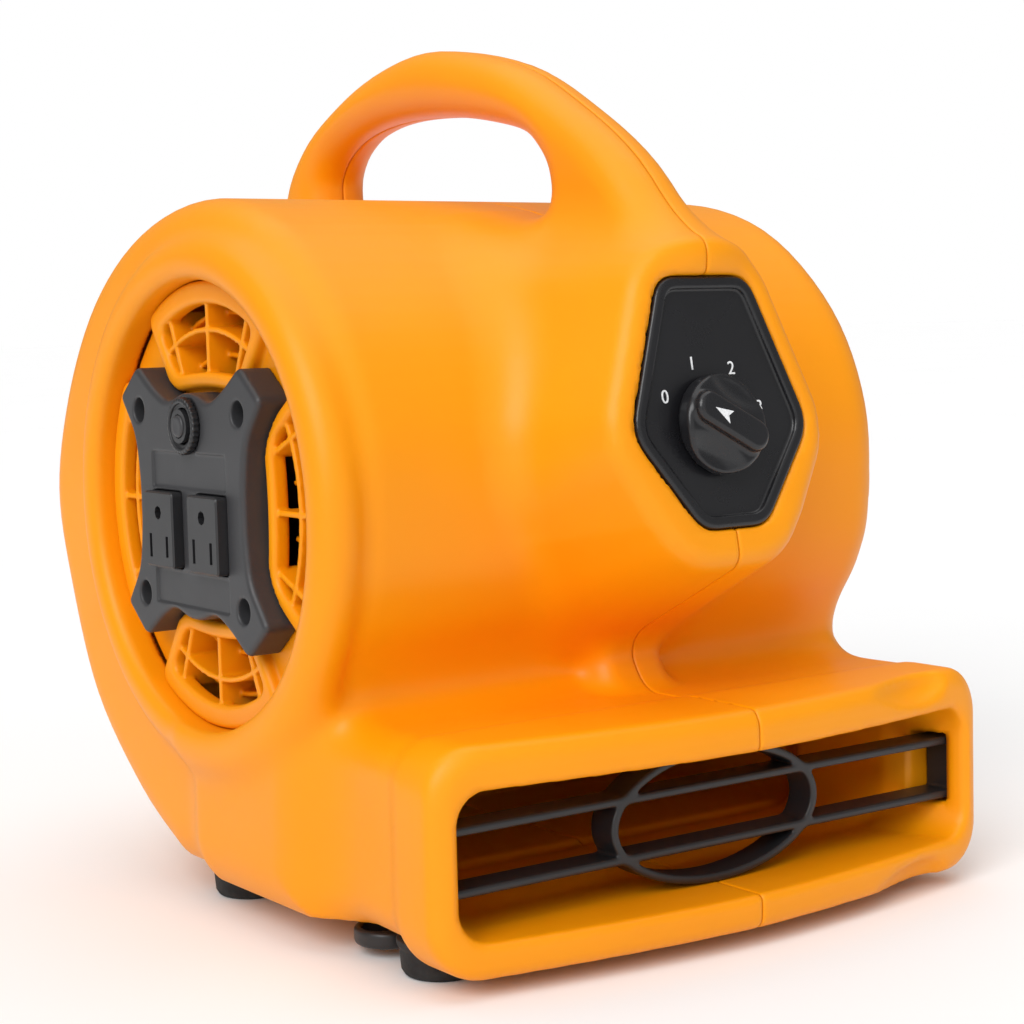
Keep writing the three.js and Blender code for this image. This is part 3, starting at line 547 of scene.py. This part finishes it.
def from_bmesh(name, mesh, place):
    """An object from a finished bmesh, moved to its place."""
    data = bpy.data.meshes.new(name)
    mesh.to_mesh(data)
    mesh.free()
    data.transform(place)
    return new_object(name, data)


def make_mesh(name, points, faces):
    """An object from points in millimetres from the intake axis."""
    mesh = bpy.data.meshes.new(name)
    mesh.from_pydata((points * MM + np.array(AXIS)).tolist(), [], faces.tolist())
    mesh.polygons.foreach_set("use_smooth", np.ones(len(mesh.polygons), bool))
    mesh.update()
    return new_object(name, mesh)


def finish_piece(piece, body, slot_name, material, *replaced):
    piece.data.materials.clear()
    piece.data.materials.append(material)
    if replaced:
        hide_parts(*replaced)
    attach(piece, body)
    return piece


def carved(name, distance, low, high, step, side=1):
    """A carved piece; the ones on the left are carved on the right and mirrored."""
    points, faces = carve(distance, low, high, step)
    if side < 0:
        points, faces = points * [-1, 1, 1], faces[:, ::-1]
    return make_mesh(name, points, faces)


def close_at_parting(piece, side):
    """Cuts a half shell at the parting plane, closes it there and leaves the fine groove of the joint."""
    mesh = bmesh.new()
    mesh.from_mesh(piece.data)
    normal = (side, 0, 0)
    for offset in (1.0, 0.0):
        everything = mesh.verts[:] + mesh.edges[:] + mesh.faces[:]
        bmesh.ops.bisect_plane(
            mesh, geom=everything, dist=1e-7, plane_co=(side * offset * MM, 0, 0), plane_no=normal,
            clear_inner=offset == 0.0,
        )
    mesh.normal_update()
    rim = [edge for edge in mesh.edges if edge.is_boundary]
    rim_verts = {v for edge in rim for v in edge.verts}
    places = {v: v.co - v.normal * 0.35 * MM for v in rim_verts}
    for v, place in places.items():
        v.co = (side * 0.15 * MM, place.y, place.z)
    bmesh.ops.triangle_fill(mesh, use_beauty=False, use_dissolve=False, edges=rim, normal=normal)
    bmesh.ops.recalc_face_normals(mesh, faces=mesh.faces)
    mesh.to_mesh(piece.data)
    mesh.free()
    flat = np.abs(np.array([p.normal.x for p in piece.data.polygons])) > 0.999
    near = np.abs(np.array([p.center.x for p in piece.data.polygons])) < 0.3 * MM
    piece.data.polygons.foreach_set("use_smooth", ~(flat & near))


def lathe(name, profile, place, segments=48):
    """A turned piece: the profile is (radius, height) pairs, and place maps its own z on to the frame."""
    mesh = bmesh.new()
    rings = []
    for radius, height in profile:
        if radius == 0:
            rings.append([mesh.verts.new((0, 0, height))])
            continue
        angles = 2 * np.pi * np.arange(segments) / segments
        rings.append([mesh.verts.new((radius * math.cos(t), radius * math.sin(t), height)) for t in angles])
    for lower, upper in zip(rings, rings[1:]):
        for k in range(segments):
            after = (k + 1) % segments
            near = [lower[k % len(lower)], lower[after % len(lower)]]
            far = [upper[after % len(upper)], upper[k % len(upper)]]
            mesh.faces.new(list(dict.fromkeys(near + far)))
    bmesh.ops.recalc_face_normals(mesh, faces=mesh.faces)
    piece = from_bmesh(name, mesh, place)
    piece.data.polygons.foreach_set("use_smooth", np.ones(len(piece.data.polygons), bool))
    soften(piece, 0.0004)
    return piece


def soften(piece, width):
    """Rounds the sharp edges of a piece and keeps its flats flat."""
    bevel = piece.modifiers.new("edge_rounding", "BEVEL")
    bevel.width = width
    bevel.segments = 2
    bevel.limit_method = "ANGLE"
    bevel.angle_limit = math.radians(32)
    bevel.harden_normals = True


def frame_place(x_axis, y_axis, z_axis, at):
    """A matrix from millimetres on a piece's own axes to the frame."""
    turn = Matrix((x_axis, y_axis, z_axis)).transposed().to_4x4()
    move = Matrix.Translation(AXIS + Vector(at) * MM)
    return move @ turn @ Matrix.Scale(MM, 4)


CONTROL = frame_place(
    (1, 0, 0),
    (0, math.sin(LEAN), math.cos(LEAN)),
    (0, -math.cos(LEAN), math.sin(LEAN)),
    (0, CONTROL_Y, CONTROL_Z),
)
DIAL = CONTROL @ Matrix.Translation((DIAL_ACROSS, DIAL_UP, 0))
LEFTWARD = [(0, 1, 0), (0, 0, -1), (-1, 0, 0)]
RIGHTWARD = [(0, 1, 0), (0, 0, 1), (1, 0, 0)]
UPRIGHT = [(1, 0, 0), (0, 1, 0), (0, 0, 1)]


def carved_on(name, distance, low, high, step, place):
    """A carved piece whose distance function is laid out on its own axes."""
    piece = carved(name, distance, low, high, step)
    piece.data.transform(Matrix.Translation(-AXIS))
    piece.data.transform(place @ Matrix.Scale(1 / MM, 4))
    return piece


# ---------- materials ----------
def new_material(name):
    material = bpy.data.materials.new(name)
    material.use_nodes = True
    nodes = material.node_tree.nodes
    return material, nodes, material.node_tree.links, nodes["Principled BSDF"]


def noise(nodes, links, scale, detail, rough=0.5, stretch=None):
    place = nodes.new("ShaderNodeTexCoord")
    texture = nodes.new("ShaderNodeTexNoise")
    texture.inputs["Scale"].default_value = scale
    texture.inputs["Detail"].default_value = detail
    texture.inputs["Roughness"].default_value = rough
    source = place.outputs["Object"]
    if stretch:
        mapping = nodes.new("ShaderNodeMapping")
        mapping.inputs["Scale"].default_value = stretch
        links.new(source, mapping.inputs["Vector"])
        source = mapping.outputs["Vector"]
    links.new(source, texture.inputs["Vector"])
    return texture.outputs["Fac"]


def ramp(nodes, links, source, low, high, dark, light):
    node = nodes.new("ShaderNodeValToRGB")
    node.color_ramp.elements[0].position = low
    node.color_ramp.elements[1].position = high
    node.color_ramp.elements[0].color = (*dark, 1)
    node.color_ramp.elements[1].color = (*light, 1)
    links.new(source, node.inputs["Fac"])
    return node.outputs["Color"]


def spread(nodes, links, source, low, high):
    node = nodes.new("ShaderNodeMapRange")
    node.inputs["To Min"].default_value = low
    node.inputs["To Max"].default_value = high
    links.new(source, node.inputs["Value"])
    return node.outputs["Result"]


def grain(nodes, links, source, strength, depth, after=None):
    node = nodes.new("ShaderNodeBump")
    node.inputs["Strength"].default_value = strength
    node.inputs["Distance"].default_value = depth
    links.new(source, node.inputs["Height"])
    if after:
        links.new(after, node.inputs["Normal"])
    return node.outputs["Normal"]


def moulded_plastic(name, colour, darker, rough, grain_depth=0.00006, grain_scale=2600):
    """Moulded plastic: uneven tone, fine spark-eroded grain, slow waviness and duller handled patches."""
    material, nodes, links, shader = new_material(name)
    tone = noise(nodes, links, 9, 4)
    links.new(ramp(nodes, links, tone, 0.3, 0.7, darker, colour), shader.inputs["Base Color"])
    scuff = noise(nodes, links, 34, 6, 0.62)
    links.new(spread(nodes, links, scuff, rough - 0.07, rough + 0.09), shader.inputs["Roughness"])
    fine = grain(nodes, links, noise(nodes, links, grain_scale, 2), 0.22, grain_depth)
    wavy = grain(nodes, links, noise(nodes, links, 26, 2), 0.10, 0.0007, fine)
    links.new(wavy, shader.inputs["Normal"])
    return material


def yellow_plastic():
    material = moulded_plastic("housing_yellow", (0.93, 0.325, 0.0), (0.88, 0.295, 0.0), 0.42)
    shader = material.node_tree.nodes["Principled BSDF"]
    shader.inputs["Specular IOR Level"].default_value = 0.3
    shader.inputs["Subsurface Weight"].default_value = 0.06
    shader.inputs["Subsurface Radius"].default_value = (0.004, 0.0016, 0.0004)
    shader.inputs["Subsurface Scale"].default_value = 0.5
    return material


def rubber():
    material, nodes, links, shader = new_material("foot_rubber")
    tone = noise(nodes, links, 160, 5)
    dusty = ramp(nodes, links, tone, 0.35, 0.75, (0.010, 0.010, 0.011), (0.035, 0.034, 0.033))
    links.new(dusty, shader.inputs["Base Color"])
    links.new(spread(nodes, links, noise(nodes, links, 300, 4), 0.72, 0.95), shader.inputs["Roughness"])
    links.new(grain(nodes, links, noise(nodes, links, 1500, 4), 0.5, 0.00012), shader.inputs["Normal"])
    return material


def metal(name, colour, darker, rough):
    """Turned or plated metal, with fine lines round its axis."""
    material, nodes, links, shader = new_material(name)
    shader.inputs["Metallic"].default_value = 1.0
    lines = noise(nodes, links, 60, 4, 0.6, (40, 1, 1))
    links.new(ramp(nodes, links, lines, 0.3, 0.7, darker, colour), shader.inputs["Base Color"])
    links.new(spread(nodes, links, lines, rough - 0.08, rough + 0.14), shader.inputs["Roughness"])
    links.new(grain(nodes, links, lines, 0.25, 0.00005), shader.inputs["Normal"])
    return material


def ink():
    material, nodes, links, shader = new_material("dial_ink")
    worn = noise(nodes, links, 900, 4)
    white = ramp(nodes, links, worn, 0.25, 0.5, (0.55, 0.56, 0.57), (0.82, 0.83, 0.84))
    links.new(white, shader.inputs["Base Color"])
    links.new(spread(nodes, links, worn, 0.45, 0.7), shader.inputs["Roughness"])
    return material


YELLOW = yellow_plastic()
BLACK = moulded_plastic("black_plastic", (0.020, 0.020, 0.022), (0.012, 0.012, 0.013), 0.38)
GLOSSY = moulded_plastic("control_black", (0.011, 0.011, 0.013), (0.008, 0.008, 0.009), 0.27, 0.00003)
PANEL = moulded_plastic("panel_black", (0.040, 0.040, 0.043), (0.028, 0.028, 0.030), 0.45, 0.00009, 1900)
WHEEL = moulded_plastic("wheel_black", (0.022, 0.022, 0.024), (0.014, 0.014, 0.015), 0.55)
RUBBER = rubber()
STEEL = metal("steel", (0.62, 0.63, 0.65), (0.42, 0.43, 0.45), 0.32)
DARK_STEEL = metal("dark_steel", (0.10, 0.10, 0.11), (0.045, 0.045, 0.05), 0.42)
INK = ink()
BY_SLOT = {
    "housing_yellow": YELLOW, "black_plastic": BLACK, "panel_plastic": PANEL, "foot_rubber": RUBBER,
    "steel": STEEL, "dark_steel": DARK_STEEL, "wheel_plastic": WHEEL,
}


# ---------- stage ----------
CAMERA_AT = (-468.9, -677.7, 62.0)


def look_from():
    """The camera: turned 35 degrees to the machine's left, a little above its middle, rolled slightly."""
    yaw, pitch, roll = -0.6129, 0.08866, -0.0255
    back = Vector((math.sin(yaw) * math.cos(pitch), -math.cos(yaw) * math.cos(pitch), math.sin(pitch)))
    right = Vector((math.cos(yaw), math.sin(yaw), 0))
    up = back.cross(right)
    right, up = right * math.cos(roll) + up * math.sin(roll), up * math.cos(roll) - right * math.sin(roll)
    camera = new_object("camera", bpy.data.cameras.new("camera"))
    camera.data.lens = 75.27
    camera.data.sensor_width = 36
    camera.data.clip_start = 0.05
    turn = Matrix((right, up, back)).transposed().to_4x4()
    camera.matrix_world = Matrix.Translation(AXIS + Vector(CAMERA_AT) * MM) @ turn
    bpy.context.scene.camera = camera


def soft_sun(name, place, strength, degrees):
    """A wide, even studio light that shines from that direction."""
    lamp = bpy.data.lights.new(name, "SUN")
    lamp.energy = strength
    lamp.angle = math.radians(degrees)
    sun = new_object(name, lamp)
    sun.matrix_world = (-Vector(place)).to_track_quat("-Z", "Y").to_matrix().to_4x4()


def floor():
    mesh = bmesh.new()
    bmesh.ops.create_grid(mesh, x_segments=8, y_segments=8, size=30)
    piece = from_bmesh("studio_floor", mesh, Matrix.Identity(4))
    material, nodes, links, shader = new_material("studio_floor")
    tone = noise(nodes, links, 3, 2)
    white = ramp(nodes, links, tone, 0.2, 0.8, (0.92, 0.92, 0.92), (0.94, 0.94, 0.94))
    links.new(white, shader.inputs["Base Color"])
    shader.inputs["Roughness"].default_value = 0.9
    piece.data.materials.append(material)


def brighter_backdrop(tree):
    """The backdrop shows as plain white, brighter than the soft light that it gives."""
    nodes, links = tree.nodes, tree.links
    seen = nodes.new("ShaderNodeLightPath")
    white = nodes.new("ShaderNodeBackground")
    white.inputs["Color"].default_value = (1, 1, 1, 1)
    choice = nodes.new("ShaderNodeMixShader")
    links.new(seen.outputs["Is Camera Ray"], choice.inputs[0])
    links.new(nodes["Background"].outputs[0], choice.inputs[1])
    links.new(white.outputs[0], choice.inputs[2])
    links.new(choice.outputs[0], nodes["World Output"].inputs["Surface"])


def studio():
    scene = bpy.context.scene
    scene.view_settings.view_transform = "Standard"
    world = bpy.data.worlds.new("studio")
    world.use_nodes = True
    world.node_tree.nodes["Background"].inputs["Color"].default_value = (1, 1, 1, 1)
    world.node_tree.nodes["Background"].inputs["Strength"].default_value = 0.30
    scene.world = world
    brighter_backdrop(world.node_tree)
    soft_sun("key", (-1.5, -0.9, 1.25), 2.0, 40)
    soft_sun("top", (0.1, 0.1, 1.9), 1.3, 70)
    soft_sun("front", (-0.1, -1.8, 0.6), 0.35, 60)
    floor()


# ---------- pieces ----------
def housing_shells():
    step = 2.0
    for side, word in ((-1, "left"), (1, "right")):
        def distance(x, y, z, side=side):
            return housing_distance(x, y, z, side)
        low = (-1.5 * step, LIP_FRONT - 8, LIP_BOTTOM - 6)
        shell = carved(f"housing_shell_{word}", distance, low, (RING_X + 8, 150, 176), step, side)
        close_at_parting(shell, side)
        finish_piece(shell, "machine", "housing_yellow", YELLOW, f"housing_{word}")


def grilles():
    step = 0.9
    for side, word, hub in ((-1, "left", left_hub), (1, "right", right_hub)):
        def distance(x, y, z, hub=hub):
            return grille_distance(x, y, z, hub)
        node = f"intake_grille_{word}"
        grille = carved(f"{node}_moulded", distance, (104, -81, -81), (126, 81, 81), step, side)
        finish_piece(grille, "machine", "housing_yellow", YELLOW, node)


def cross_pieces():
    step = 0.7
    for side, distance, node in ((-1, panel_distance, "outlet_panel"), (1, cover_distance, "bearing_cover")):
        piece = carved(f"{node}_moulded", distance, (116.5, -57, -54), (137, 57, 54), step, side)
        finish_piece(piece, "machine", "panel_plastic", PANEL, node)


def controls():
    step = 0.6
    plate = carved_on("control_plate_moulded", plate_distance, (-41, -36, -4.5), (41, 55, 4), step, CONTROL)
    finish_piece(plate, "machine", "black_plastic", GLOSSY, "control_plate")
    pointing = DIAL @ Matrix.Rotation(math.radians(KNOB_REST), 4, "Z")
    knob = carved_on("speed_knob_moulded", knob_distance, (-20, -20, 1), (20, 20, 19), step, pointing)
    finish_piece(knob, "knob", "black_plastic", GLOSSY, "speed_knob")
    pointer(pointing)
    dial_numbers()


def pointer(pointing):
    """The white arrow on the bar of the knob."""
    outline = [(0, 9.4), (-2.3, 2.0), (0, 3.4), (2.3, 2.0)]
    prism("knob_pointer", outline, KNOB_TOP - 0.05, KNOB_TOP + 0.12, pointing, "knob")


def prism(name, outline, low, high, place, body):
    mesh = bmesh.new()
    face = mesh.faces.new([mesh.verts.new((a, b, low)) for a, b in outline])
    side = bmesh.ops.extrude_face_region(mesh, geom=[face])
    top = [v for v in side["geom"] if isinstance(v, bmesh.types.BMVert)]
    bmesh.ops.translate(mesh, vec=(0, 0, high - low), verts=top)
    bmesh.ops.recalc_face_normals(mesh, faces=mesh.faces)
    return finish_piece(from_bmesh(name, mesh, place), body, "black_plastic", INK)


def dial_numbers():
    for k, word in enumerate("0123"):
        angle = math.radians(NUMBER_FIRST - NUMBER_STEP * k)
        curve = bpy.data.curves.new(f"dial_{word}", "FONT")
        curve.body = word
        curve.size = 6.4
        curve.align_x = "CENTER"
        curve.align_y = "CENTER"
        curve.extrude = 0.1
        text = new_object(f"dial_{word}_text", curve)
        bpy.context.view_layer.update()
        data = bpy.data.meshes.new_from_object(text.evaluated_get(bpy.context.evaluated_depsgraph_get()))
        bpy.data.objects.remove(text)
        data.name = f"dial_{word}"
        place = (NUMBER_RADIUS * math.cos(angle), NUMBER_RADIUS * math.sin(angle), 0.3)
        data.transform(DIAL @ Matrix.Translation(place))
        finish_piece(new_object(f"dial_{word}", data), "machine", "black_plastic", INK)


def nozzle_and_stand():
    step = 0.8
    low, high = (-118, GRILLE_FRONT - 2, MOUTH_BOTTOM - 2), (118, GRILLE_BACK + 2, MOUTH_TOP + 2)
    grille = carved("nozzle_grille_moulded", nozzle_grille_distance, low, high, step)
    finish_piece(grille, "machine", "black_plastic", BLACK, "nozzle_grille")
    stand = carved("kickstand_moulded", stand_distance, (-112, -86, -149), (112, -3, -136), step)
    finish_piece(stand, "stand", "black_plastic", BLACK, "kickstand")


def feet():
    """Rubber feet, each with a well below for its screw."""
    top = BASE_Z - 0.3
    profile = [
        (2.4, top), (15, top), (15, BASE_Z - 2.2), (14.2, BASE_Z - 3.2),
        (13.6, FLOOR_Z + 2.2), (12.6, FLOOR_Z + 0.5), (11.5, FLOOR_Z), (5.4, FLOOR_Z),
        (5, FLOOR_Z + 6), (2.4, FLOOR_Z + 6), (2.4, top),
    ]
    for side, x in (("left", -FOOT_X), ("right", FOOT_X)):
        for end, y in (("front", FOOT_FRONT_Y), ("rear", FOOT_REAR_Y)):
            foot = lathe(f"foot_{side}_{end}_turned", profile, frame_place(*UPRIGHT, (x, y, 0)))
            finish_piece(foot, "machine", "foot_rubber", RUBBER, f"foot_{side}_{end}")


def collar_distance(x, y, z):
    """The knurled nut round the breaker button."""
    radius, angle = np.hypot(x, y), np.arctan2(y, x)
    body = rounded_pair(radius - 9.9 + 0.28 * np.cos(30 * angle), z - (PANEL_X + 2.6), 0.9)
    body = np.maximum(np.maximum(body, PANEL_X - 0.4 - z), -(radius - 6.4))
    return smooth_max(body, -(rounded_pair(radius - 8.0, PANEL_X + 1.5 - z, 0.4)), 0.4)


def breaker():
    place = frame_place(*LEFTWARD, (0, 0, BREAKER_Z))
    collar = carved_on("breaker_collar_knurled", collar_distance, (-11, -11, 129), (11, 11, 135), 0.45, place)
    finish_piece(collar, "machine", "black_plastic", BLACK, "breaker_collar")
    profile = [
        (0, 121.5), (4, 121.5), (4, PANEL_X + 3.2),
        (3.4, PANEL_X + 3.8), (2.2, PANEL_X + 3.9), (0, PANEL_X + 3.5),
    ]
    button = lathe("breaker_button_turned", profile, place)
    finish_piece(button, "breaker_button", "black_plastic", PANEL, "breaker_button")


def screws():
    """Pan heads with a cross recess, in the four corners of the panel and of the cover."""
    def distance(x, y, z):
        radius = np.hypot(x, y)
        dome = np.sqrt(radius ** 2 + ((z - 119.2) * 1.15) ** 2) - 6.6
        head = np.maximum(dome, np.maximum(radius - 3.9, 122.4 - z))
        shank = np.maximum(radius - 2, between(z, 112, 123))
        slots = [np.maximum(np.abs(a) - 0.55, np.abs(b) - 2.2) for a, b in ((x, y), (y, x))]
        return np.maximum(np.minimum(head, shank), -np.maximum(np.minimum(*slots), 123.4 - z))

    number = 0
    for across in (-1, 1):
        for up in (1, -1):
            number += 1
            for axes, word in ((LEFTWARD, "panel"), (RIGHTWARD, "cover")):
                node = f"{word}_screw_{number}"
                place = frame_place(*axes, (0, across * SCREW_Y, up * SCREW_Z))
                screw = carved_on(f"{node}_head", distance, (-5, -5, 111), (5, 5, 126), 0.5, place)
                finish_piece(screw, "machine", "dark_steel", DARK_STEEL, node)


def carried_over():
    """The CAD nodes that stay: each gets its slot's material, and the ones in view get rounded edges."""
    slots = {row["node"]: row["material_slot"] for row in frame["record"]["subparts"]}
    for name, node in frame["nodes"].items():
        node.data.materials.clear()
        node.data.materials.append(BY_SLOT[slots[name]])
    for name in ("receptacle_front", "receptacle_rear", "stand_lug_left", "stand_lug_right"):
        soften(frame["nodes"][name], 0.0003)


look_from()
studio()
carried_over()
housing_shells()
grilles()
cross_pieces()
controls()
nozzle_and_stand()
feet()
breaker()
screws()

bpy.context.view_layer.update()
